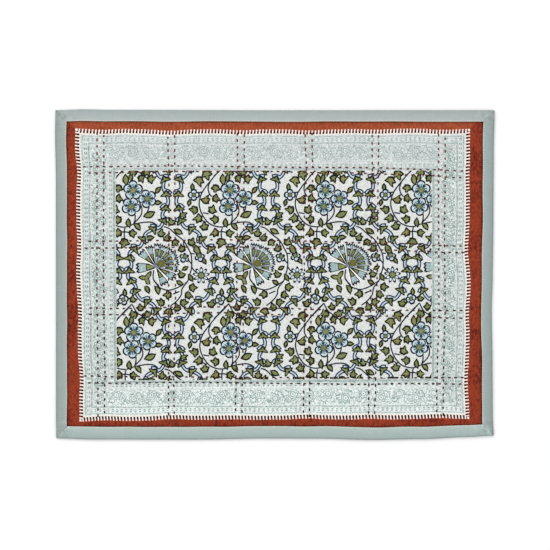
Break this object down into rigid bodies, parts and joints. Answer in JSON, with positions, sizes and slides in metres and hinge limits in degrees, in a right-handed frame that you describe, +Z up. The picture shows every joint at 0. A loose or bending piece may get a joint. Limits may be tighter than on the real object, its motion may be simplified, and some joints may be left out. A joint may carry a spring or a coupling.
{
  "type": "fabric placemat",
  "caption": "Rectangular quilted cotton placemat with a block-printed floral field, pale and rust borders, running-stitch quilting and a folded, mitred binding.",
  "frame": {"origin": "on the table under the middle of the mat's outline box, where the mat lies flat", "axes": "+X along the long side to the diner's right, +Y away from the diner, +Z up out of the printed face"},
  "size_m": [0.4598, 0.3458, 0.0034],
  "materials": {
    "printed_cotton": "plain-weave cotton, block printed in green, blue and navy on cream, with pale blue and rust borders",
    "binding_cotton": "plain-weave cotton dyed grey-green, matt",
    "quilting_thread": "stranded cotton thread, dark red-brown",
    "edge_thread": "ecru machine-sewing thread"
  },
  "bodies": {
    "root": {"quilted_panel": "printed_cotton", "binding_bottom": "binding_cotton", "binding_right": "binding_cotton", "binding_top": "binding_cotton", "binding_left": "binding_cotton"}
  },
  "joints": []
}
